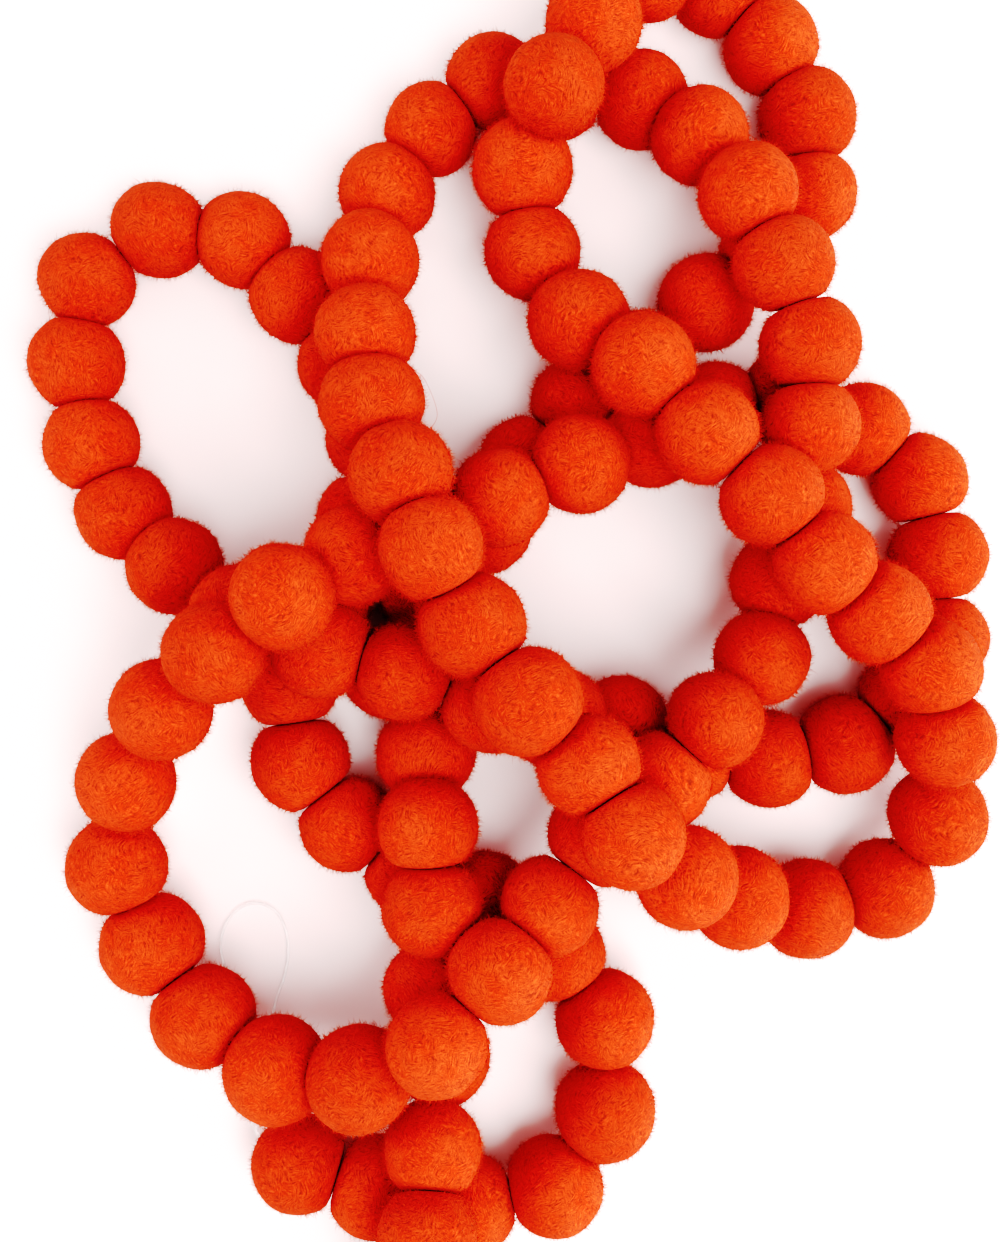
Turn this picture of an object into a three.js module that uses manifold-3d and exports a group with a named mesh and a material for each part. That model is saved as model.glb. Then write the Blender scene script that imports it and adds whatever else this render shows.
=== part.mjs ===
// A garland of felt balls, threaded tight on clear line and piled in loops on a flat surface.
// Millimetres, +Z up. The surface is z = 0, and the origin is under the middle of the pile.
import * as THREE from "three";
import { mergeVertices } from "three/addons/utils/BufferGeometryUtils.js";
import Module from "manifold-3d";

const wasm = await Module();
wasm.setup();

const pieceGap = 0.3; // air left between two pieces that touch
const restShare = 0.95; // a resting ball's centre is this share of its radius above the surface
const pieceCount = 58; // the balls are joined, in twos and threes, into this many pieces
const sides = 12; // facets of a ball round the line
const halfBands = 2; // bands of facets from a ball's waist to its widest ring
const endShare = 0.94; // the garland's two end faces stand this share of a radius from the centre
const tipShare = 0.985; // and bulge this far in their middle

const feltColour = 0xdc3410;
const threadColour = 0xf3ecea;

// The balls in their order on the line, one row for each stretch of the pile: the radius of its
// balls, and each ball's centre as [x, y, height], with a radius of its own where it is larger or
// smaller than the others. A height of 0 is a ball that lies on the surface.
const stretches = [
  {
    name: "loose end",
    radius: 13.8,
    centres: [
      [-58, -138, 0, 13.3], [-37, -144, 0], [-12, -149, 0], [12, -144, 0, 13.4], [26, -123, 0],
    ],
  },
  {
    name: "run back under the bridge",
    radius: 13,
    centres: [
      [26, -98, 0, 13.6], [13, -80, 0], [-7, -65, 0], [-28, -57, 0, 12.6], [-45, -44, 0, 13.4],
      [-58, -27, 0, 13.6], [-61, -5, 0, 13.5],
    ],
  },
  {
    name: "run under the ridge",
    radius: 12.8,
    centres: [[-51, 18, 0], [-41, 40, 0], [-38, 62, 0], [-46, 83, 0]],
  },
  {
    name: "left loop",
    radius: 13.1,
    centres: [
      [-59, 102, 0], [-74, 117, 0], [-97, 120, 0], [-117, 106, 0], [-120, 83, 0], [-116, 61, 0],
      [-107, 42, 0], [-92, 27, 17],
    ],
  },
  {
    name: "left crossing",
    radius: 13,
    centres: [
      [-73, 14, 26], [-50, 5, 33, 13.4], [-28, -1, 34], [-6, -10, 32, 12.7], [12, -14, 26, 13.6],
    ],
  },
  {
    name: "right floor loop",
    radius: 12.8,
    centres: [
      [30, -16, 15], [50, -25, 0], [71, -26, 0, 13.4], [92, -22, 0, 13.7], [109, -9, 0],
      [119, 7, 0], [118, 30, 0, 13.3], [113, 51, 0], [97, 65, 0],
    ],
  },
  {
    name: "middle crossing",
    radius: 12.9,
    centres: [
      [77, 74, 0, 13.2], [56, 70, 15], [38, 61, 21], [18, 53, 33], [-3, 44, 36], [-21, 33, 31],
    ],
  },
  {
    name: "left arch",
    radius: 13.3,
    centres: [[-41, 29, 37], [-57, 18, 53], [-75, 4, 47, 13], [-91, -11, 36]],
  },
  {
    name: "lower left loop",
    radius: 14.1,
    centres: [
      [-103, -31, 25, 13.4], [-108, -55, 16, 13.6], [-99, -77, 0], [-84, -96, 17],
      [-63, -108, 25, 14.3], [-40, -108, 33],
    ],
  },
  {
    name: "lower bridge",
    radius: 13.2,
    centres: [[-19, -96, 44], [-3, -78, 40, 13.5], [10, -63, 32], [23, -45, 29], [39, -30, 34]],
  },
  {
    name: "inner right run",
    radius: 12.7,
    centres: [[53, -14, 35], [67, 2, 25], [73, 23, 18, 13.1], [79, 43, 22], [78, 63, 34]],
  },
  {
    name: "upper right run",
    radius: 13,
    centres: [
      [78, 84, 34], [71, 105, 35], [62, 124, 33], [51, 143, 21], [36, 156, 0], [13, 158, 0, 12.6],
    ],
  },
  {
    name: "upper left run",
    radius: 13.1,
    centres: [
      [-5, 161, 0], [-22, 148, 0, 12.8], [-34, 130, 14, 13.3], [-38, 109, 23, 13.4],
      [-38, 87, 35], [-36, 68, 40, 13.6],
    ],
  },
  {
    name: "ridge",
    radius: 13.2,
    centres: [
      [-28, 49, 49], [-20, 30, 55], [-10, 11, 51, 13.5], [4, -8, 54, 13.7], [19, -24, 50],
      [30, -41, 54], [45, -54, 40],
    ],
  },
  {
    name: "lower right loop",
    radius: 13.6,
    centres: [
      [61, -62, 25], [81, -67, 15], [103, -62, 0], [116, -41, 19, 13.3], [114, -19, 32, 12.9],
    ],
  },
  {
    name: "right ridge",
    radius: 13.1,
    centres: [
      [109, 0, 36], [95, 14, 38, 13.3], [80, 27, 42, 13.3], [66, 44, 43], [50, 60, 42],
      [34, 78, 38, 13.5],
    ],
  },
  {
    name: "upper middle run",
    radius: 13,
    centres: [[18, 92, 28, 13.4], [6, 112, 20], [3, 134, 22, 13.6], [11, 151, 36], [22, 171, 28]],
  },
  {
    name: "upper hook",
    radius: 12.9,
    centres: [
      [38, 188, 19, 12.6], [57, 187, 0], [72, 171, 0], [82, 151, 0, 13.4], [83, 130, 0, 12.5],
      [71, 114, 0], [54, 100, 0, 13.3],
    ],
  },
  {
    name: "run under the middle",
    radius: 12.7,
    centres: [[36, 85, 0], [18, 72, 0], [4, 56, 0], [-7, 38, 0], [-24, 20, 0], [-34, -2, 0]],
  },
  {
    name: "last run",
    radius: 13.2,
    centres: [
      [-23, -24, 19], [-22, -42, 31], [-21, -63, 32], [-21, -87, 22], [-19, -108, 14],
      [-21, -129, 26], [-22, -148, 36], [-27, -168, 22], [-29, -189, 0],
    ],
  },
];

// The clear line leaves the first ball, lies in one long loop and comes back into the same ball.
const threadDiameter = 0.8;
const threadSteps = 76;
const threadSides = 8;
const threadPoints = [
  [-69.4, -130.3, 13.6],
  [-70.5, -128.4, 13],
  [-71.2, -124.6, 9],
  [-70.6, -118, 3],
  [-69, -108, 0.6],
  [-67, -97, 0.6],
  [-64, -87.5, 0.6],
  [-63.6, -78, 0.6],
  [-67, -70.6, 0.6],
  [-73.4, -68.4, 0.6],
  [-79.6, -72, 0.6],
  [-82.6, -80, 0.6],
  [-80.6, -88.6, 0.6],
  [-76.4, -97, 0.6],
  [-74, -107.5, 0.6],
  [-74.2, -117, 1.2],
  [-73.4, -124, 5.6],
  [-71.8, -128.6, 9.8],
  [-69.7, -130.9, 11.2],
];

const balls = stretches.flatMap((stretch) =>
  stretch.centres.map(([x, y, height, radius = stretch.radius]) => ({
    radius,
    centre: new THREE.Vector3(x, y, Math.max(height, restShare * radius)),
  })),
);

// The plane in which the spheres of two balls meet, seen from the first of them.
function facePlane(ball, other) {
  const normal = other.centre.clone().sub(ball.centre);
  const apart = normal.length();
  const distance = (apart ** 2 + ball.radius ** 2 - other.radius ** 2) / (2 * apart);
  return { normal: normal.divideScalar(apart), distance };
}

// Felt gives, so a ball is flat where another stretch of the garland presses on it.
balls.forEach((ball, i) => {
  ball.flats = balls
    .filter((other, j) => Math.abs(i - j) > 1)
    .filter((other) => ball.centre.distanceTo(other.centre) < ball.radius + other.radius + pieceGap)
    .map((other) => facePlane(ball, other));
  ball.flats.forEach((flat) => {
    flat.distance -= pieceGap / 2;
  });
});

// How far a ray goes from a point inside a ball before it meets one of the ball's flats.
function reachOf(ball, from, direction, most) {
  const start = from.clone().sub(ball.centre);
  return ball.flats.reduce((reach, { normal, distance }) => {
    const climb = direction.dot(normal);
    return climb > 0 ? Math.min(reach, (distance - start.dot(normal)) / climb) : reach;
  }, most);
}

// Directions round an axis, counted from the lowest one.
function spokes(axis) {
  const side = new THREE.Vector3().crossVectors(axis, new THREE.Vector3(0, 0, 1)).normalize();
  const down = new THREE.Vector3().crossVectors(axis, side);
  return Array.from({ length: sides }, (_, k) => {
    const angle = (2 * Math.PI * k) / sides;
    return down
      .clone()
      .multiplyScalar(Math.cos(angle))
      .addScaledVector(side, Math.sin(angle));
  });
}

// The rim of the round face that a ball presses on its neighbour: a ring in the face's plane, drawn
// in where another ball presses. The axis runs along the line, whichever end of the ball it is.
function rim(ball, plane, axis, sharers) {
  const middle = ball.centre.clone().addScaledVector(plane.normal, plane.distance);
  const radius = Math.sqrt(ball.radius ** 2 - plane.distance ** 2);
  return spokes(axis).map((spoke) => {
    const reach = sharers.reduce((most, sharer) => reachOf(sharer, middle, spoke, most), radius);
    return middle.clone().addScaledVector(spoke, reach);
  });
}

// A direction part of the way round from one direction to another.
function between(from, to, share) {
  const angle = from.angleTo(to);
  return from
    .clone()
    .multiplyScalar(Math.sin((1 - share) * angle))
    .addScaledVector(to, Math.sin(share * angle))
    .divideScalar(Math.sin(angle));
}

// The rings of one ball between its two rims: from each rim the facets go round the sphere to
// the ball's widest ring, and no further than the ball's flats.
function bellyRings(ball, axis, firstRim, lastRim) {
  const widest = spokes(axis);
  const onBall = (direction) =>
    ball.centre
      .clone()
      .addScaledVector(direction, reachOf(ball, ball.centre, direction, ball.radius));
  const directionTo = (point) => point.clone().sub(ball.centre).normalize();
  const rings = [];
  for (let band = 1; band < halfBands; band++) {
    rings.push(
      firstRim.map((point, k) =>
        onBall(between(directionTo(point), widest[k], band / halfBands)),
      ),
    );
  }
  rings.push(widest.map(onBall));
  for (let band = 1; band < halfBands; band++) {
    rings.push(
      lastRim.map((point, k) =>
        onBall(between(widest[k], directionTo(point), band / halfBands)),
      ),
    );
  }
  return rings;
}

// The plane of the face before or after a ball on the line (step -1 or 1). At the garland's two
// ends it goes straight on.
function linkPlane(index, step) {
  const ball = balls[index];
  const neighbour = balls[index + step];
  if (neighbour) return facePlane(ball, neighbour);
  const normal = ball.centre.clone().sub(balls[index - step].centre).normalize();
  return { normal, distance: endShare * ball.radius, isEnd: true };
}

// One closed skin over the balls from first to last, with a flat face at each end.
function ballsGeometry(first, last) {
  const rings = [];
  let startTip, endTip;
  for (let index = first; index <= last; index++) {
    const ball = balls[index];
    const before = linkPlane(index, -1);
    const after = linkPlane(index, 1);
    const backAxis = before.normal.clone().negate();
    if (index === first) {
      if (!before.isEnd) before.distance -= pieceGap / 2;
      rings.push(rim(ball, before, backAxis, [ball]));
      const tip = before.isEnd ? tipShare * ball.radius : before.distance;
      startTip = ball.centre.clone().addScaledVector(before.normal, tip);
    }
    const sharers = index === last ? [ball] : [ball, balls[index + 1]];
    if (index === last && !after.isEnd) after.distance -= pieceGap / 2;
    const lastRim = rim(ball, after, after.normal, sharers);
    const axis = backAxis.clone().add(after.normal).normalize();
    rings.push(...bellyRings(ball, axis, rings.at(-1), lastRim), lastRim);
    if (index === last) {
      const tip = after.isEnd ? tipShare * ball.radius : after.distance;
      endTip = ball.centre.clone().addScaledVector(after.normal, tip);
    }
  }
  const points = [startTip, ...rings.flat(), endTip];
  const faces = [];
  const at = (ring, k) => 1 + ring * sides + (k % sides);
  for (let k = 0; k < sides; k++) {
    faces.push(0, at(0, k), at(0, k + 1));
    faces.push(points.length - 1, at(rings.length - 1, k + 1), at(rings.length - 1, k));
    for (let ring = 0; ring + 1 < rings.length; ring++) {
      faces.push(at(ring, k), at(ring + 1, k), at(ring + 1, k + 1));
      faces.push(at(ring, k), at(ring + 1, k + 1), at(ring, k + 1));
    }
  }
  return new THREE.BufferGeometry().setFromPoints(points).setIndex(faces);
}

function toSolid(geometry) {
  geometry.deleteAttribute("normal");
  geometry.deleteAttribute("uv");
  const merged = mergeVertices(geometry);
  return new wasm.Manifold(
    new wasm.Mesh({
      numProp: 3,
      vertProperties: merged.attributes.position.array,
      triVerts: new Uint32Array(merged.index.array),
    }),
  );
}

function toGeometry(solid) {
  const { vertProperties, triVerts } = solid.getMesh();
  return new THREE.BufferGeometry()
    .setAttribute("position", new THREE.BufferAttribute(vertProperties, 3))
    .setIndex(new THREE.BufferAttribute(triVerts, 1));
}

// What is below the surface is taken off, so each resting ball stands on a small flat spot.
const slabSize = 600;
const slab = toSolid(
  new THREE.BoxGeometry(slabSize, slabSize, slabSize).translate(0, 0, -slabSize / 2),
);

function makeBalls(garland) {
  const felt = new THREE.MeshStandardMaterial({ color: feltColour, roughness: 0.95, metalness: 0 });
  const edge = (piece) => Math.round((piece * balls.length) / pieceCount);
  for (let piece = 0; piece < pieceCount; piece++) {
    let geometry = ballsGeometry(edge(piece), edge(piece + 1) - 1);
    geometry.computeBoundingBox();
    if (geometry.boundingBox.min.z < 0) geometry = toGeometry(toSolid(geometry).subtract(slab));
    geometry.computeVertexNormals();
    const mesh = new THREE.Mesh(geometry, felt.clone());
    mesh.name = "felt_balls_" + String(piece + 1).padStart(2, "0");
    garland.add(mesh);
  }
}

function makeThread(garland) {
  const radius = threadDiameter / 2;
  const outline = Array.from({ length: threadSides }, (_, k) => {
    const angle = (2 * Math.PI * k) / threadSides;
    return new THREE.Vector2(radius * Math.cos(angle), radius * Math.sin(angle));
  });
  const points = threadPoints.map((point) => new THREE.Vector3(...point));
  const path = new THREE.CatmullRomCurve3(points, false, "catmullrom");
  const geometry = new THREE.ExtrudeGeometry(new THREE.Shape(outline), {
    steps: threadSteps,
    bevelEnabled: false,
    extrudePath: path,
  });
  const clear = new THREE.MeshStandardMaterial({
    color: threadColour,
    roughness: 0.15,
    metalness: 0,
    transparent: true,
    opacity: 0.6,
  });
  const mesh = new THREE.Mesh(geometry, clear);
  mesh.name = "thread_loop";
  garland.add(mesh);
}

const garland = new THREE.Group();
makeBalls(garland);
makeThread(garland);

export default garland;
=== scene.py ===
import math

import bpy
import numpy as np
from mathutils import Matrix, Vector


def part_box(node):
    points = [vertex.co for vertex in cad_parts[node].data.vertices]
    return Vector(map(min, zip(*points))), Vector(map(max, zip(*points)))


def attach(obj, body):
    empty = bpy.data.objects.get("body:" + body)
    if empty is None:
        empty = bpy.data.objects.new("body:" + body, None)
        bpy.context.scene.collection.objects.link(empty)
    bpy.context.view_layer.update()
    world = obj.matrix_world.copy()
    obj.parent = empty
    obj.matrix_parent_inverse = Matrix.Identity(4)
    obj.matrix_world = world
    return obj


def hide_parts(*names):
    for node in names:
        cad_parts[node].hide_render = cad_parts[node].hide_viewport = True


# A garland of red felt balls on clear line, lying in a pile, seen from straight above.
# Metres, +Z up, z = 0 is the surface that the pile lies on.

mm = 0.001

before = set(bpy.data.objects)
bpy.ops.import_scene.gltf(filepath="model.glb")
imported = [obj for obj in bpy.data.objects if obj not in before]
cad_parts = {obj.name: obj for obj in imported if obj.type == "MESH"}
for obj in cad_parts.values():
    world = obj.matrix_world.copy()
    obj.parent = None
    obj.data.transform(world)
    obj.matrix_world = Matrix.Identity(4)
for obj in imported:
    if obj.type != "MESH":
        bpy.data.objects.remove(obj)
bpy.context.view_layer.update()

# Camera, straight above the pile. The picture is 1000 pixels wide.
cameraSet = {
    "height": 400 * mm,
    "centre": (-3 * mm, 12 * mm),
    "focalPixels": 1402,
    "widthPixels": 1000,
    "sensor": 36,
    "nearest": 10 * mm,
}


def makeCamera():
    data = bpy.data.cameras.new("camera")
    data.sensor_fit = "HORIZONTAL"
    data.sensor_width = cameraSet["sensor"]
    data.lens = cameraSet["sensor"] * cameraSet["focalPixels"] / cameraSet["widthPixels"]
    data.clip_start = cameraSet["nearest"]
    camera = bpy.data.objects.new("camera", data)
    camera.location = (*cameraSet["centre"], cameraSet["height"])
    bpy.context.scene.collection.objects.link(camera)
    bpy.context.scene.camera = camera


makeCamera()
print("camera done")


# The clear line's loop. The route's points are the solid's own, in millimetres.
threadSet = {
    "diameter": 0.8 * mm,
    "length": 146.6 * mm,
    "stepsPerPoint": 8,
    "roundness": 2,
    "roughness": 0.25,
    "refraction": 1.2,
    "clearness": 0.85,
    # Emission that makes the clear line glow: a painted glint, not a lamp.
    "paintedGlint": 0.03,
    "route": [
        (-69.4, -130.3, 13.6), (-70.5, -128.4, 13), (-71.2, -124.6, 9), (-70.6, -118, 3),
        (-69, -108, 0.6), (-67, -97, 0.6), (-64, -87.5, 0.6), (-63.6, -78, 0.6),
        (-67, -70.6, 0.6), (-73.4, -68.4, 0.6), (-79.6, -72, 0.6), (-82.6, -80, 0.6),
        (-80.6, -88.6, 0.6), (-76.4, -97, 0.6), (-74, -107.5, 0.6), (-74.2, -117, 1.2),
        (-73.4, -124, 5.6), (-71.8, -128.6, 9.8), (-69.7, -130.9, 11.2),
    ],
}


def curveThrough(points, steps):
    # Between two points the curve is a cubic whose slope at each point is half the step from the
    # point before it to the point after it. Past both ends the first and last steps go straight on.
    points = np.array(points, float)
    padded = np.vstack([2 * points[0] - points[1], points, 2 * points[-1] - points[-2]])
    slope = (padded[2:] - padded[:-2]) / 2
    t = np.linspace(0, 1, steps, endpoint=False)[None, :, None]
    a, b = points[:-1, None], points[1:, None]
    da, db = slope[:-1, None], slope[1:, None]
    curve = (
        (2 * t**3 - 3 * t**2 + 1) * a + (t**3 - 2 * t**2 + t) * da
        + (3 * t**2 - 2 * t**3) * b + (t**3 - t**2) * db
    )
    return np.vstack([curve.reshape(-1, 3), points[-1:]])


def makeThreadMaterial():
    material = bpy.data.materials.new("clearLine")
    material.use_nodes = True
    shader = material.node_tree.nodes["Principled BSDF"]
    shader.inputs["Base Color"].default_value = (1, 1, 1, 1)
    shader.inputs["Roughness"].default_value = threadSet["roughness"]
    shader.inputs["IOR"].default_value = threadSet["refraction"]
    shader.inputs["Transmission Weight"].default_value = threadSet["clearness"]
    # The line's emission is a painted glint.
    shader.inputs["Emission Color"].default_value = (1, 1, 1, 1)
    shader.inputs["Emission Strength"].default_value = threadSet["paintedGlint"]
    return material


def makeThread():
    route = curveThrough(threadSet["route"], threadSet["stepsPerPoint"]) * mm
    data = bpy.data.curves.new("threadLoop", "CURVE")
    data.dimensions = "3D"
    spline = data.splines.new("POLY")
    spline.points.add(len(route) - 1)
    spline.points.foreach_set("co", np.hstack([route, np.ones((len(route), 1))]).ravel())
    data.bevel_depth = threadSet["diameter"] / 2
    data.bevel_resolution = threadSet["roundness"]
    data.use_fill_caps = True
    data.materials.append(makeThreadMaterial())
    thread = bpy.data.objects.new("threadLoop", data)
    bpy.context.scene.collection.objects.link(thread)
    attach(thread, "root")
    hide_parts("thread_loop")


makeThread()
print("thread done")


# The balls in their order on the line: each stretch's radius, and each ball's centre as
# (x, y, height) in millimetres, with a radius of its own where it is larger or smaller than the
# others. A height of 0 is a ball that lies on the surface, with its centre at restShare of its
# radius above it.
stretches = {
    "loose end": (13.8, [
        (-58, -138, 0, 13.3), (-37, -144, 0), (-12, -149, 0), (12, -144, 0, 13.4), (26, -123, 0),
    ]),
    "run back under the bridge": (13, [
        (26, -98, 0, 13.6), (13, -80, 0), (-7, -65, 0), (-28, -57, 0, 12.6), (-45, -44, 0, 13.4),
        (-58, -27, 0, 13.6), (-61, -5, 0, 13.5),
    ]),
    "run under the ridge": (12.8, [(-51, 18, 0), (-41, 40, 0), (-38, 62, 0), (-46, 83, 0)]),
    "left loop": (13.1, [
        (-59, 102, 0), (-74, 117, 0), (-97, 120, 0), (-117, 106, 0), (-120, 83, 0), (-116, 61, 0),
        (-107, 42, 0), (-92, 27, 17),
    ]),
    "left crossing": (13, [
        (-73, 14, 26), (-50, 5, 33, 13.4), (-28, -1, 34), (-6, -10, 32, 12.7), (12, -14, 26, 13.6),
    ]),
    "right floor loop": (12.8, [
        (30, -16, 15), (50, -25, 0), (71, -26, 0, 13.4), (92, -22, 0, 13.7), (109, -9, 0),
        (119, 7, 0), (118, 30, 0, 13.3), (113, 51, 0), (97, 65, 0),
    ]),
    "middle crossing": (12.9, [
        (77, 74, 0, 13.2), (56, 70, 15), (38, 61, 21), (18, 53, 33), (-3, 44, 36), (-21, 33, 31),
    ]),
    "left arch": (13.3, [(-41, 29, 37), (-57, 18, 53), (-75, 4, 47, 13), (-91, -11, 36)]),
    "lower left loop": (14.1, [
        (-103, -31, 25, 13.4), (-108, -55, 16, 13.6), (-99, -77, 0), (-84, -96, 17),
        (-63, -108, 25, 14.3), (-40, -108, 33),
    ]),
    "lower bridge": (13.2, [
        (-19, -96, 44), (-3, -78, 40, 13.5), (10, -63, 32), (23, -45, 29), (39, -30, 34),
    ]),
    "inner right run": (12.7, [
        (53, -14, 35), (67, 2, 25), (73, 23, 18, 13.1), (79, 43, 22), (78, 63, 34),
    ]),
    "upper right run": (13, [
        (78, 84, 34), (71, 105, 35), (62, 124, 33), (51, 143, 21), (36, 156, 0), (13, 158, 0, 12.6),
    ]),
    "upper left run": (13.1, [
        (-5, 161, 0), (-22, 148, 0, 12.8), (-34, 130, 14, 13.3), (-38, 109, 23, 13.4),
        (-38, 87, 35), (-36, 68, 40, 13.6),
    ]),
    "ridge": (13.2, [
        (-28, 49, 49), (-20, 30, 55), (-10, 11, 51, 13.5), (4, -8, 54, 13.7), (19, -24, 50),
        (30, -41, 54), (45, -54, 40),
    ]),
    "lower right loop": (13.6, [
        (61, -62, 25), (81, -67, 15), (103, -62, 0), (116, -41, 19, 13.3), (114, -19, 32, 12.9),
    ]),
    "right ridge": (13.1, [
        (109, 0, 36), (95, 14, 38, 13.3), (80, 27, 42, 13.3), (66, 44, 43), (50, 60, 42),
        (34, 78, 38, 13.5),
    ]),
    "upper middle run": (13, [
        (18, 92, 28, 13.4), (6, 112, 20), (3, 134, 22, 13.6), (11, 151, 36), (22, 171, 28),
    ]),
    "upper hook": (12.9, [
        (38, 188, 19, 12.6), (57, 187, 0), (72, 171, 0), (82, 151, 0, 13.4), (83, 130, 0, 12.5),
        (71, 114, 0), (54, 100, 0, 13.3),
    ]),
    "run under the middle": (12.7, [
        (36, 85, 0), (18, 72, 0), (4, 56, 0), (-7, 38, 0), (-24, 20, 0), (-34, -2, 0),
    ]),
    "last run": (13.2, [
        (-23, -24, 19), (-22, -42, 31), (-21, -63, 32), (-21, -87, 22), (-19, -108, 14),
        (-21, -129, 26), (-22, -148, 36), (-27, -168, 22), (-29, -189, 0),
    ]),
}
restShare = 0.95

balls = [
    (*ball[:3], ball[3] if len(ball) > 3 else radius)
    for radius, row in stretches.values() for ball in row
]
centres = np.array(balls)[:, :3] * mm
radii = np.array(balls)[:, 3] * mm
centres[:, 2] = np.maximum(centres[:, 2], restShare * radii)
ballCount = len(radii)

ballSet = {
    "pieces": 58,
    "columns": 44,
    "rows": 24,
    "rowCrowding": 0.2,  # the rows lie closer together at the waist, which is what shows
    "nearestAir": 1.0 * mm,  # a ball this close to another is flattened by it
    "contactAir": 0.05 * mm,
    "cornerLeast": 0.1 * mm,  # the rounding where felt meets a pressed face
    "cornerMost": 2.4 * mm,
    "cornerShare": 0.8,
    "climbLeast": 0.05,  # a ray that climbs less than this towards a plane misses it
    "oval": 0.022,
    # Lumps and dents: how many waves, radians of each from the ball's middle to its side, and size.
    "waves": ((4, 3.2, 0.007), (9, 9.5, 0.0028)),
    "waveSpread": (0.7, 1.3),
    "phaseMost": 6.28,  # a full turn, near enough
    "seed": 11,
    "patternSeed": 12,
}


def unit(vectors):
    return vectors / np.linalg.norm(vectors, axis=-1, keepdims=True)


def pressingPlanes(index):
    # Each ball that touches this one, and the surface below it, gives the plane where the two
    # meet: its unit normal seen from this ball, and how far it is from this ball's centre.
    gaps = centres - centres[index]
    apart = np.linalg.norm(gaps, axis=1)
    reach = radii + radii[index] + ballSet["nearestAir"]
    others = np.flatnonzero((apart < reach) & (np.arange(ballCount) != index))
    normals = gaps[others] / apart[others, None]
    away = (apart[others] ** 2 + radii[index] ** 2 - radii[others] ** 2) / (2 * apart[others])
    away = away - ballSet["contactAir"] / 2
    if centres[index, 2] < radii[index] + ballSet["nearestAir"]:
        normals = np.vstack([normals, [0, 0, -1]])
        away = np.append(away, centres[index, 2])
    return normals, away


def unevenness(directions, random):
    # A ball's own radius as a share of its nominal one: an oval, a few broad lumps and many small
    # dents, each a wave across a random direction.
    lean = unit(random.normal(size=3))
    share = 1 + ballSet["oval"] * random.uniform(-1, 1) * (1.5 * (directions @ lean) ** 2 - 0.5)
    for count, waves, size in ballSet["waves"]:
        across = unit(random.normal(size=(count, 3))) * waves
        across = across * random.uniform(*ballSet["waveSpread"], (count, 1))
        phase = random.uniform(0, ballSet["phaseMost"], count)
        share = share + size * np.sin(directions @ across.T + phase).sum(1)
    return share


def softLower(a, b, corner):
    # The lower of two lengths, with the corner between them rounded over the given width.
    near = np.clip(corner - np.abs(a - b), 0, None) / corner
    return np.minimum(a, b) - near**2 * corner / 4


def ballReach(index, directions, random):
    # How far the felt reaches from the ball's centre in each direction: its own uneven radius, cut
    # off softly by every pressing plane, which a ray meets at distance / (ray . normal).
    own = radii[index] * unevenness(directions, random)
    reach = own
    normals, away = pressingPlanes(index)
    for normal, distance in zip(normals, away):
        climb = directions @ normal
        cut = distance / np.maximum(climb, ballSet["climbLeast"])
        press = ballSet["cornerShare"] * (radii[index] - distance)
        corner = np.clip(press, ballSet["cornerLeast"], ballSet["cornerMost"])
        reach = softLower(reach, cut, corner)
    return reach, own


def lineAxis(index):
    # The direction of the line through a ball, from the ball before it to the ball after it.
    before, after = max(index - 1, 0), min(index + 1, ballCount - 1)
    return unit(centres[after] - centres[before])


def sideways(axis):
    # Two directions at right angles to the axis and to each other.
    helper = np.eye(3)[np.argmin(np.abs(axis))]
    first = unit(np.cross(axis, helper))
    return first, np.cross(axis, first)


def ballRandom(index):
    return np.random.default_rng([ballSet["seed"], index])


def ballMesh(index):
    # A grid of rows from pole to pole and columns round the line. The polar angle is
    # pi v + crowding sin(2 pi v), and each point lies at the felt's reach in its direction.
    rows, columns = ballSet["rows"], ballSet["columns"]
    v = np.linspace(0, 1, rows + 1)[1:-1]
    polar = math.pi * v + ballSet["rowCrowding"] * np.sin(2 * math.pi * v)
    turn = np.linspace(0, 2 * math.pi, columns, endpoint=False)
    axis = lineAxis(index)
    first, second = sideways(axis)
    ring = np.cos(turn)[:, None] * first + np.sin(turn)[:, None] * second
    grid = np.cos(polar)[:, None, None] * axis + np.sin(polar)[:, None, None] * ring
    directions = np.vstack([axis, grid.reshape(-1, 3), -axis])
    reach, _ = ballReach(index, directions, ballRandom(index))
    points = centres[index] + directions * reach[:, None]

    def at(row, column):
        return 1 + row * columns + column % columns

    last = rows - 2
    row, column = np.meshgrid(np.arange(last), np.arange(columns), indexing="ij")
    quads = np.stack([
        at(row, column), at(row + 1, column), at(row + 1, column + 1), at(row, column + 1),
    ], -1)
    around = np.arange(columns)
    pole = np.full(columns, len(points) - 1)
    top = np.stack([np.zeros_like(around), at(0, around), at(0, around + 1)], -1)
    bottom = np.stack([at(last, around), pole, at(last, around + 1)], -1)
    return points, quads.reshape(-1, 4), np.vstack([top, bottom])


def turned(points, random):
    # The points about their middle, turned at random and moved far off, so that no two balls show
    # the same part of the felt pattern.
    basis, _ = np.linalg.qr(random.normal(size=(3, 3)))
    return points @ basis.T + random.uniform(-1, 1, 3)


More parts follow.
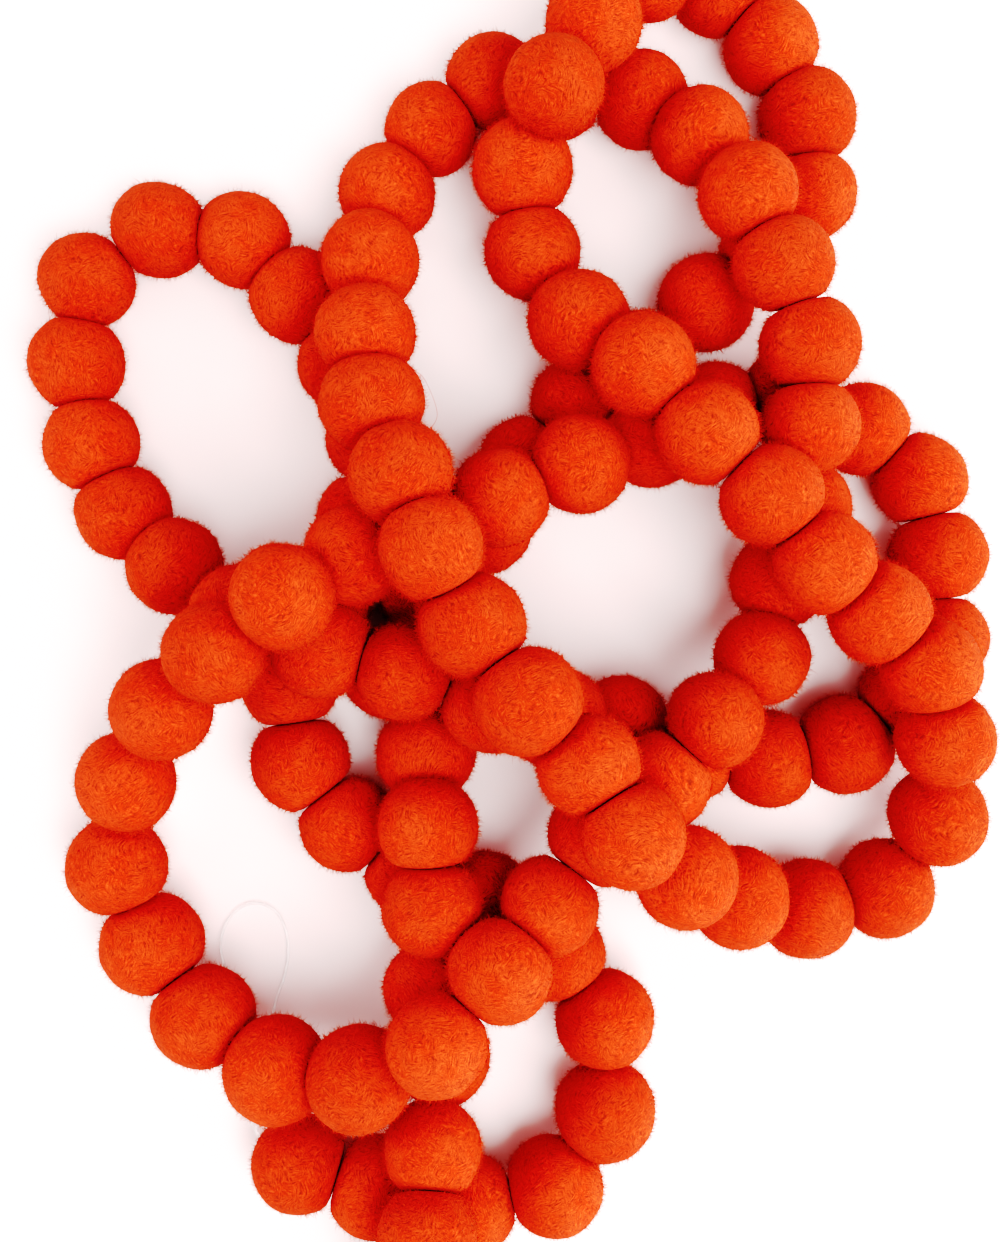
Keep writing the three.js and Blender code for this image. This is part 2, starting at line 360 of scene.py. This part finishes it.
def buildMesh(name, points, quads, triangles, attributes, material):
    data = bpy.data.meshes.new(name)
    data.vertices.add(len(points))
    data.vertices.foreach_set("co", points.astype(np.float32).ravel())
    corners = np.concatenate([quads.ravel(), triangles.ravel()]).astype(np.int32)
    sizes = np.concatenate([np.full(len(quads), 4), np.full(len(triangles), 3)])
    data.loops.add(len(corners))
    data.loops.foreach_set("vertex_index", corners)
    data.polygons.add(len(sizes))
    starts = np.concatenate([[0], np.cumsum(sizes)[:-1]]).astype(np.int32)
    data.polygons.foreach_set("loop_start", starts)
    data.polygons.foreach_set("use_smooth", np.ones(len(sizes), bool))
    data.update(calc_edges=True)
    data.validate()
    for attribute, values in attributes.items():
        kind = "FLOAT_VECTOR" if values.ndim == 2 else "FLOAT"
        field = "vector" if values.ndim == 2 else "value"
        made = data.attributes.new(attribute, kind, "POINT")
        made.data.foreach_set(field, values.astype(np.float32).ravel())
    data.materials.append(material)
    piece = bpy.data.objects.new(name, data)
    bpy.context.scene.collection.objects.link(piece)
    return piece


feltSet = {
    "ground": (0.42, 0.044, 0.018, 1),
    # Strand colour: the fibres' own colour, lighter by a painted highlight on their raised parts.
    "strandWithPaintedHighlight": (0.56, 0.062, 0.024, 1),
    # Gap colour: painted shade between the fibres, where the bump is low.
    "paintedGapShade": (0.16, 0.023, 0.012, 1),
    "cloud": (0.40, 0.033, 0.012, 1),
    # Pit colour: painted shade in small holes, deep red like the shaded felt.
    "paintedPitShade": (0.20, 0.007, 0.004, 1),
    "roughness": 0.95,
    "specular": 0.15,
    "sheen": 0.06,
    "sheenRoughness": 0.5,
    "sheenTint": (1.0, 0.35, 0.12, 1),
    # Scales are in waves a metre. Edges are the noise values between which a look fades in.
    "swirl": 5.0 * mm,
    "swirlScale": 110,
    "fibreAcross": 3700,
    "fibreAlong": 700,
    "fibreDetail": 2.0,
    "fibreRoughness": 0.6,
    "fibreShare": 0.72,
    "patchScale": 260,
    "patchEdges": (0.42, 0.58),
    "speckScale": 3300,
    "speckShare": 0.28,
    "cloudScale": 120,
    "cloudDetail": 2.0,
    "cloudEdges": (0.35, 0.65),
    "strandHighlightEdges": (0.48, 0.68),
    "paintedGapShadeEdges": (0.51, 0.36),
    "pitShadeScale": 620,
    "pitShadeEdges": (0.80, 0.83),
    "toneRange": (0.93, 1.06),
    "bumpHeight": 0.40 * mm,
    "bumpStrength": 1.0,
}


def makeFeltMaterial():
    # Fibres are a noise that changes fast across them and slowly along them. There are three such
    # noises, one for each way across, bent by a slow swirl, and patches of another slow noise say
    # which of them shows. Fine specks are added. The high parts are light strands, the fibres' own
    # colour with a painted highlight, and the low parts are dark gaps of painted shade. Slow clouds
    # change the ground, a few dark pits of painted shade are added, and each ball has its tone.
    material = bpy.data.materials.new("redFelt")
    material.use_nodes = True
    tree = material.node_tree
    shader = tree.nodes["Principled BSDF"]

    def node(kind, **settings):
        made = tree.nodes.new(kind)
        for key, value in settings.items():
            setattr(made, key, value)
        return made

    def link(value, socket):
        if hasattr(value, "links"):
            tree.links.new(value, socket)
        else:
            socket.default_value = value

    def combine(operation, a, b):
        made = node("ShaderNodeMath", operation=operation)
        link(a, made.inputs[0])
        link(b, made.inputs[1])
        return made.outputs[0]

    def vector(operation, a, b):
        made = node("ShaderNodeVectorMath", operation=operation)
        link(a, made.inputs[0])
        link(b, made.inputs[1])
        return made.outputs[0]

    def noise(place, scale, detail=1.0, roughness=0.5):
        made = node("ShaderNodeTexNoise")
        link(place, made.inputs["Vector"])
        made.inputs["Scale"].default_value = scale
        made.inputs["Detail"].default_value = detail
        made.inputs["Roughness"].default_value = roughness
        return made

    def ramp(value, low, high, lowTo=0.0, highTo=1.0):
        made = node("ShaderNodeMapRange", interpolation_type="SMOOTHSTEP")
        link(value, made.inputs["Value"])
        link(low, made.inputs["From Min"])
        link(high, made.inputs["From Max"])
        link(lowTo, made.inputs["To Min"])
        link(highTo, made.inputs["To Max"])
        return made.outputs["Result"]

    def mix(share, a, b, kind="RGBA"):
        made = node("ShaderNodeMix", data_type=kind)
        sockets = [socket for socket in made.inputs if socket.enabled]
        for value, socket in zip((share, a, b), sockets):
            link(value, socket)
        return next(socket for socket in made.outputs if socket.enabled)

    place = node("ShaderNodeAttribute", attribute_name="feltPlace").outputs["Vector"]
    tone = node("ShaderNodeAttribute", attribute_name="feltTone").outputs["Fac"]

    swirl = noise(place, feltSet["swirlScale"]).outputs["Color"]
    fromMiddle = vector("SUBTRACT", swirl, (0.5, 0.5, 0.5))
    push = vector("MULTIPLY", fromMiddle, (feltSet["swirl"],) * 3)
    bent = vector("ADD", place, push)

    layers = []
    for way in range(3):
        stretch = [feltSet["fibreAlong"]] * 3
        stretch[way] = feltSet["fibreAcross"]
        stretched = vector("MULTIPLY", bent, stretch)
        layer = noise(stretched, 1.0, feltSet["fibreDetail"], feltSet["fibreRoughness"])
        layers.append(layer.outputs["Fac"])
    fibres = layers[0]
    for number in (1, 2):
        # Each patch noise is read at a place of its own, metres away from the other.
        patchPlace = vector("ADD", place, (number, 2 * number, 0))
        patch = noise(patchPlace, feltSet["patchScale"]).outputs["Fac"]
        fibres = mix(ramp(patch, *feltSet["patchEdges"]), fibres, layers[number], "FLOAT")
    specks = noise(place, feltSet["speckScale"]).outputs["Fac"]
    weave = combine(
        "ADD",
        combine("MULTIPLY", fibres, feltSet["fibreShare"]),
        combine("MULTIPLY", specks, feltSet["speckShare"]),
    )
    # Light strands carry a painted highlight where the weave is high, and dark gaps carry painted
    # shade where it is low, as in the bump.
    strandHighlights = ramp(weave, *feltSet["strandHighlightEdges"])
    gaps = ramp(weave, *feltSet["paintedGapShadeEdges"])
    cloudNoise = noise(place, feltSet["cloudScale"], feltSet["cloudDetail"]).outputs["Fac"]
    cloud = ramp(cloudNoise, *feltSet["cloudEdges"])

    ground = mix(cloud, feltSet["ground"], feltSet["cloud"])
    # A few small dark pits of painted shade.
    pitShadeMask = ramp(noise(place, feltSet["pitShadeScale"]).outputs["Fac"], *feltSet["pitShadeEdges"])
    woven = mix(strandHighlights, mix(gaps, ground, feltSet["paintedGapShade"]), feltSet["strandWithPaintedHighlight"])
    colour = mix(pitShadeMask, woven, feltSet["paintedPitShade"])
    toned = node("ShaderNodeHueSaturation")
    link(colour, toned.inputs["Color"])
    link(ramp(tone, 0.0, 1.0, *feltSet["toneRange"]), toned.inputs["Value"])
    tree.links.new(toned.outputs["Color"], shader.inputs["Base Color"])

    bump = node("ShaderNodeBump")
    bump.inputs["Strength"].default_value = feltSet["bumpStrength"]
    bump.inputs["Distance"].default_value = feltSet["bumpHeight"]
    link(weave, bump.inputs["Height"])
    tree.links.new(bump.outputs["Normal"], shader.inputs["Normal"])

    shader.inputs["Roughness"].default_value = feltSet["roughness"]
    shader.inputs["Specular IOR Level"].default_value = feltSet["specular"]
    shader.inputs["Sheen Weight"].default_value = feltSet["sheen"]
    shader.inputs["Sheen Roughness"].default_value = feltSet["sheenRoughness"]
    shader.inputs["Sheen Tint"].default_value = feltSet["sheenTint"]
    return material


def makeBalls(material):
    # Each piece holds two or three neighbouring balls, as its solid does.
    pieces = ballSet["pieces"]
    edge = [int(piece * ballCount / pieces + 0.5) for piece in range(pieces + 1)]
    furthest = 0
    for piece in range(pieces):
        points, quads, triangles, places, tones = [], [], [], [], []
        for index in range(edge[piece], edge[piece + 1]):
            ballPoints, ballQuads, ballTriangles = ballMesh(index)
            start = sum(len(p) for p in points)
            random = np.random.default_rng([ballSet["patternSeed"], index])
            points.append(ballPoints)
            quads.append(ballQuads + start)
            triangles.append(ballTriangles + start)
            places.append(turned(ballPoints - centres[index], random))
            tones.append(np.full(len(ballPoints), random.uniform(0, 1)))
        points = np.vstack(points)
        node = "felt_balls_%02d" % (piece + 1)
        attributes = {"feltPlace": np.vstack(places), "feltTone": np.concatenate(tones)}
        balls = buildMesh(
            "feltBalls%02d" % (piece + 1), points, np.vstack(quads), np.vstack(triangles),
            attributes, material,
        )
        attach(balls, "root")
        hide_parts(node)
        low, high = (np.array(corner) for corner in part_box(node))
        offBox = np.abs([points.min(0) - low, points.max(0) - high]).max()
        furthest = max(furthest, offBox)
    print("balls done, at most %.2f mm from their solids' boxes" % (furthest / mm))


felt = makeFeltMaterial()
makeBalls(felt)


# The fuzz that stands up from the felt: long bent hairs and short straight ones, all of them
# three-sided and closed.
fuzzSet = {
    "pieces": 5,
    "longPerBall": 230,
    "shortPerBall": 1450,
    "longLength": (1.0 * mm, 3.2 * mm),
    "shortLength": (0.6 * mm, 1.9 * mm),
    "longWidth": 0.085 * mm,
    "shortWidth": 0.06 * mm,
    "levelWidth": 0.14 * mm,  # what a short hair gains in width towards the ball's level outline
    "middleShare": 0.8,  # a long hair's width at its middle, as a share of that at its bottom
    "sunk": 0.2 * mm,
    "rise": (0.15, 1.1),  # radians above the felt where a hair starts
    "shortRise": (0.3, 1.4),
    "droop": (-0.9, 0.3),  # and how much a long hair turns on its way
    "swerve": 0.5,
    "levelShare": 0.8,  # this share of the hairs is drawn towards the ball's level outline
    "levelSquash": 0.32,
    "openShare": 0.985,  # felt that reaches less than this of its own radius is pressed, and bare
    "tipDepthMost": 0.2 * mm,
    "tipHeightLeast": 0.1 * mm,
    "frameLean": (0.3, 0.1, 0.2),
    "colourScale": 400,
    "darkColour": (0.42, 0.042, 0.014, 1),
    "lightColour": (0.52, 0.074, 0.020, 1),
    "roughness": 0.8,
    "specular": 0.15,
    "seed": 23,
}


def makeFuzzMaterial():
    material = bpy.data.materials.new("feltFuzz")
    material.use_nodes = True
    tree = material.node_tree
    shader = tree.nodes["Principled BSDF"]
    coordinates = tree.nodes.new("ShaderNodeTexCoord")
    noise = tree.nodes.new("ShaderNodeTexNoise")
    noise.inputs["Scale"].default_value = fuzzSet["colourScale"]
    tree.links.new(coordinates.outputs["Object"], noise.inputs["Vector"])
    mix = tree.nodes.new("ShaderNodeMix")
    mix.data_type = "RGBA"
    tree.links.new(noise.outputs["Fac"], mix.inputs["Factor"])
    mix.inputs["A"].default_value = fuzzSet["darkColour"]
    mix.inputs["B"].default_value = fuzzSet["lightColour"]
    tree.links.new(mix.outputs["Result"], shader.inputs["Base Color"])
    shader.inputs["Roughness"].default_value = fuzzSet["roughness"]
    shader.inputs["Specular IOR Level"].default_value = fuzzSet["specular"]
    return material


def hairFrame(along):
    # The corners of a three-sided hair round each direction, a unit away from its middle line. The
    # helper is the direction with its parts swapped round, and a lean that keeps it from being
    # parallel where all three parts are alike.
    helper = np.roll(along, 1, axis=1) + fuzzSet["frameLean"]
    side = unit(np.cross(along, helper))
    other = np.cross(along, side)
    turn = (np.arange(3) * 2 * math.pi / 3)[None, :, None]
    return np.cos(turn) * side[:, None] + np.sin(turn) * other[:, None]


def longHairMesh(bottoms, middles, tips):
    # Two rings of three points, at a hair's bottom and middle, and one point at its tip.
    ring = hairFrame(unit(tips - bottoms)) * fuzzSet["longWidth"] / 2
    low = bottoms[:, None] + ring
    high = middles[:, None] + ring * fuzzSet["middleShare"]
    points = np.concatenate([low, high, tips[:, None]], axis=1)
    corner, after = np.arange(3), (np.arange(3) + 1) % 3
    triangles = np.vstack([
        [[0, 2, 1]],
        np.stack([corner, after, after + 3], -1),
        np.stack([corner, after + 3, corner + 3], -1),
        np.stack([corner + 3, after + 3, np.full(3, 6)], -1),
    ])
    return points.reshape(-1, 3), triangles[None] + 7 * np.arange(len(bottoms))[:, None, None]


def shortHairMesh(bottoms, tips, widths):
    # One ring of three points at a hair's bottom, and one point at its tip.
    ring = hairFrame(unit(tips - bottoms)) * widths[:, None, None] / 2
    points = np.concatenate([bottoms[:, None] + ring, tips[:, None]], axis=1)
    triangles = np.array([[0, 2, 1], [0, 1, 3], [1, 2, 3], [2, 0, 3]])
    return points.reshape(-1, 3), triangles[None] + 4 * np.arange(len(bottoms))[:, None, None]


def hairRoots(index, count, random):
    # Random places on a ball, with the direction outwards there and a direction along the felt.
    # A share of them is drawn towards the ball's level outline, where its fuzz shows most. Places
    # on the pressed faces are left out.
    out = random.normal(size=(count, 3))
    level = random.uniform(size=count) < fuzzSet["levelShare"]
    out[level, 2] *= fuzzSet["levelSquash"]
    out = unit(out)
    reach, own = ballReach(index, out, ballRandom(index))
    kept = reach > fuzzSet["openShare"] * own
    along = unit(np.cross(out, random.normal(size=(count, 3))))
    roots = centres[index] + out * (reach - fuzzSet["sunk"])[:, None]
    return roots[kept], out[kept], along[kept]


def inFreeAir(tips):
    # A hair whose tip would be inside a ball or below the surface is left out.
    apart = np.linalg.norm(tips[:, None] - centres[None], axis=2) - radii
    clear = apart.min(1) > -fuzzSet["tipDepthMost"]
    return clear & (tips[:, 2] > fuzzSet["tipHeightLeast"])


def longHairs(index, random):
    # Each hair starts at a slant to the felt and bends on its way.
    roots, out, along = hairRoots(index, fuzzSet["longPerBall"], random)
    count = len(roots)
    swerve = fuzzSet["swerve"] * np.cross(out, along) * random.uniform(-1, 1, (count, 1))
    bent = unit(along + swerve)
    half = random.uniform(*fuzzSet["longLength"], (count, 1)) / 2
    rise = random.uniform(*fuzzSet["rise"], (count, 1))
    later = rise + random.uniform(*fuzzSet["droop"], (count, 1))
    middles = roots + (half + fuzzSet["sunk"]) * (np.cos(rise) * along + np.sin(rise) * out)
    tips = middles + half * (np.cos(later) * bent + np.sin(later) * out)
    free = inFreeAir(tips)
    return longHairMesh(roots[free], middles[free], tips[free])


def shortHairs(index, random):
    # Each hair is straight, and wider the closer it is to the ball's level outline.
    roots, out, along = hairRoots(index, fuzzSet["shortPerBall"], random)
    count = len(roots)
    length = random.uniform(*fuzzSet["shortLength"], (count, 1)) + fuzzSet["sunk"]
    rise = random.uniform(*fuzzSet["shortRise"], (count, 1))
    tips = roots + length * (np.cos(rise) * along + np.sin(rise) * out)
    free = inFreeAir(tips)
    level = 1 - np.abs(out[free, 2])
    widths = fuzzSet["shortWidth"] + fuzzSet["levelWidth"] * level
    return shortHairMesh(roots[free], tips[free], widths)


def makeFuzz(material):
    edge = np.linspace(0, ballCount, fuzzSet["pieces"] + 1).astype(int)
    noQuads = np.zeros((0, 4), int)
    total = 0
    for piece in range(fuzzSet["pieces"]):
        points, triangles, start = [], [], 0
        for index in range(edge[piece], edge[piece + 1]):
            random = np.random.default_rng([fuzzSet["seed"], index])
            for makeHairs in (longHairs, shortHairs):
                hairPoints, hairTriangles = makeHairs(index, random)
                points.append(hairPoints)
                triangles.append(hairTriangles.reshape(-1, 3) + start)
                start += len(hairPoints)
        triangles = np.vstack(triangles)
        name = "feltFuzz%d" % (piece + 1)
        fuzz = buildMesh(name, np.vstack(points), noQuads, triangles, {}, material)
        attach(fuzz, "root")
        total += len(triangles)
    print("fuzz done,", total, "triangles")


fuzzMaterial = makeFuzzMaterial()
makeFuzz(fuzzMaterial)


# A few loose fibres that arch from one ball to another. Their points are in millimetres.
straySet = {
    "width": 0.12 * mm,
    "stepsPerPoint": 5,
    "routes": [
        [
            (-27.5, 79, 38), (-25, 76.6, 39), (-22.4, 74.2, 39), (-19.6, 67.6, 38),
            (-19.6, 63.6, 38), (-23, 59.6, 38),
        ],
        [(60.5, 75.5, 22), (62.6, 78.2, 25), (65.4, 81.2, 27), (68.4, 82.8, 27), (70.5, 82, 27)],
        [
            (61.6, 146.4, 12), (65, 145.9, 14), (67.4, 144.7, 14), (69.8, 142.2, 13),
            (71, 140.6, 12),
        ],
    ],
}


def makeStrays(material):
    # Each fibre is a three-sided tube along a curve through its points, with both ends closed.
    corner, after = np.arange(3), (np.arange(3) + 1) % 3
    for number, stops in enumerate(straySet["routes"]):
        route = curveThrough(stops, straySet["stepsPerPoint"]) * mm
        along = unit(np.gradient(route, axis=0))
        rings = route[:, None] + hairFrame(along) * straySet["width"] / 2
        ring = 3 * np.arange(len(route) - 1)[:, None]
        quads = np.stack([ring + corner, ring + after, ring + after + 3, ring + corner + 3], -1)
        ends = np.array([[0, 2, 1], [0, 1, 2]]) + [[0], [3 * (len(route) - 1)]]
        name = "strayFibre%d" % (number + 1)
        fibre = buildMesh(name, rings.reshape(-1, 3), quads.reshape(-1, 4), ends, {}, material)
        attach(fibre, "root")
    print("stray fibres done")


makeStrays(fuzzMaterial)


studioSet = {
    "floorSize": 4.0,
    "floorDrop": 0.2 * mm,
    # The floor is pale; its pink tint is painted red bounce light from the felt.
    "floorColourWithPaintedBounce": (0.92, 0.75, 0.745, 1),
    "floorRoughness": 0.9,
    "floorSpecular": 0.2,
    "skyStrength": 0.70,
    # Each lamp's place, the side of its square, and its power.
    "lamps": (
        ((0.45, -0.45, 1.2), 1.0, 25), ((-1.9, 0.24, 0.7), 1.4, 30), ((1.9, 0, 0.7), 1.4, 38),
    ),
    # The picture's tone: light on the left comes out as the value on the right. The last light
    # of the first curve comes out white. The red curve then acts on red alone.
    "tone": (
        (0.0, 0.0), (0.02, 0.002), (0.045, 0.0055), (0.065, 0.022), (0.09, 0.061), (0.12, 0.12),
        (0.2, 0.35), (0.3, 0.50), (0.45, 0.65), (0.65, 0.77), (0.85, 0.86), (1.0, 0.93),
        (1.15, 0.985), (1.3, 1.0),
    ),
    "redTone": (
        (0.0, 0.0), (0.01, 0.02), (0.04, 0.055), (0.1, 0.12), (0.2, 0.21), (0.35, 0.34),
        (0.5, 0.49), (1.0, 1.0),
    ),
}


def makeStudio():
    half = studioSet["floorSize"] / 2
    drop = -studioSet["floorDrop"]
    data = bpy.data.meshes.new("floor")
    data.from_pydata(
        [(-half, -half, drop), (half, -half, drop), (half, half, drop), (-half, half, drop)], [],
        [(0, 1, 2, 3)],
    )
    material = bpy.data.materials.new("paleFloor")
    material.use_nodes = True
    shader = material.node_tree.nodes["Principled BSDF"]
    # Pale, with a pink tint of painted bounce light from the felt.
    shader.inputs["Base Color"].default_value = studioSet["floorColourWithPaintedBounce"]
    shader.inputs["Roughness"].default_value = studioSet["floorRoughness"]
    shader.inputs["Specular IOR Level"].default_value = studioSet["floorSpecular"]
    data.materials.append(material)
    floor = bpy.data.objects.new("floor", data)
    bpy.context.scene.collection.objects.link(floor)

    scene = bpy.context.scene
    world = bpy.data.worlds.new("studio")
    world.use_nodes = True
    background = world.node_tree.nodes["Background"]
    background.inputs["Color"].default_value = (1, 1, 1, 1)
    background.inputs["Strength"].default_value = studioSet["skyStrength"]
    scene.world = world

    for (x, y, z), size, power in studioSet["lamps"]:
        light = bpy.data.lights.new("lamp", "AREA")
        light.size = size
        light.energy = power
        lamp = bpy.data.objects.new("lamp", light)
        lamp.location = (x, y, z)
        lamp.rotation_euler = (math.atan2(math.hypot(x, y), z), 0, math.atan2(x, -y))
        scene.collection.objects.link(lamp)

    scene.view_settings.view_transform = "Standard"
    scene.view_settings.look = "None"
    scene.view_settings.use_curve_mapping = True
    mapping = scene.view_settings.curve_mapping
    whiteLight = studioSet["tone"][-1][0]
    mapping.white_level = (whiteLight, whiteLight, whiteLight)
    red, allColours = mapping.curves[0], mapping.curves[3]
    for light, value in studioSet["tone"][1:-1]:
        allColours.points.new(light / whiteLight, value)
    for light, value in studioSet["redTone"][1:-1]:
        red.points.new(light, value)
    mapping.update()


makeStudio()
print("studio done")
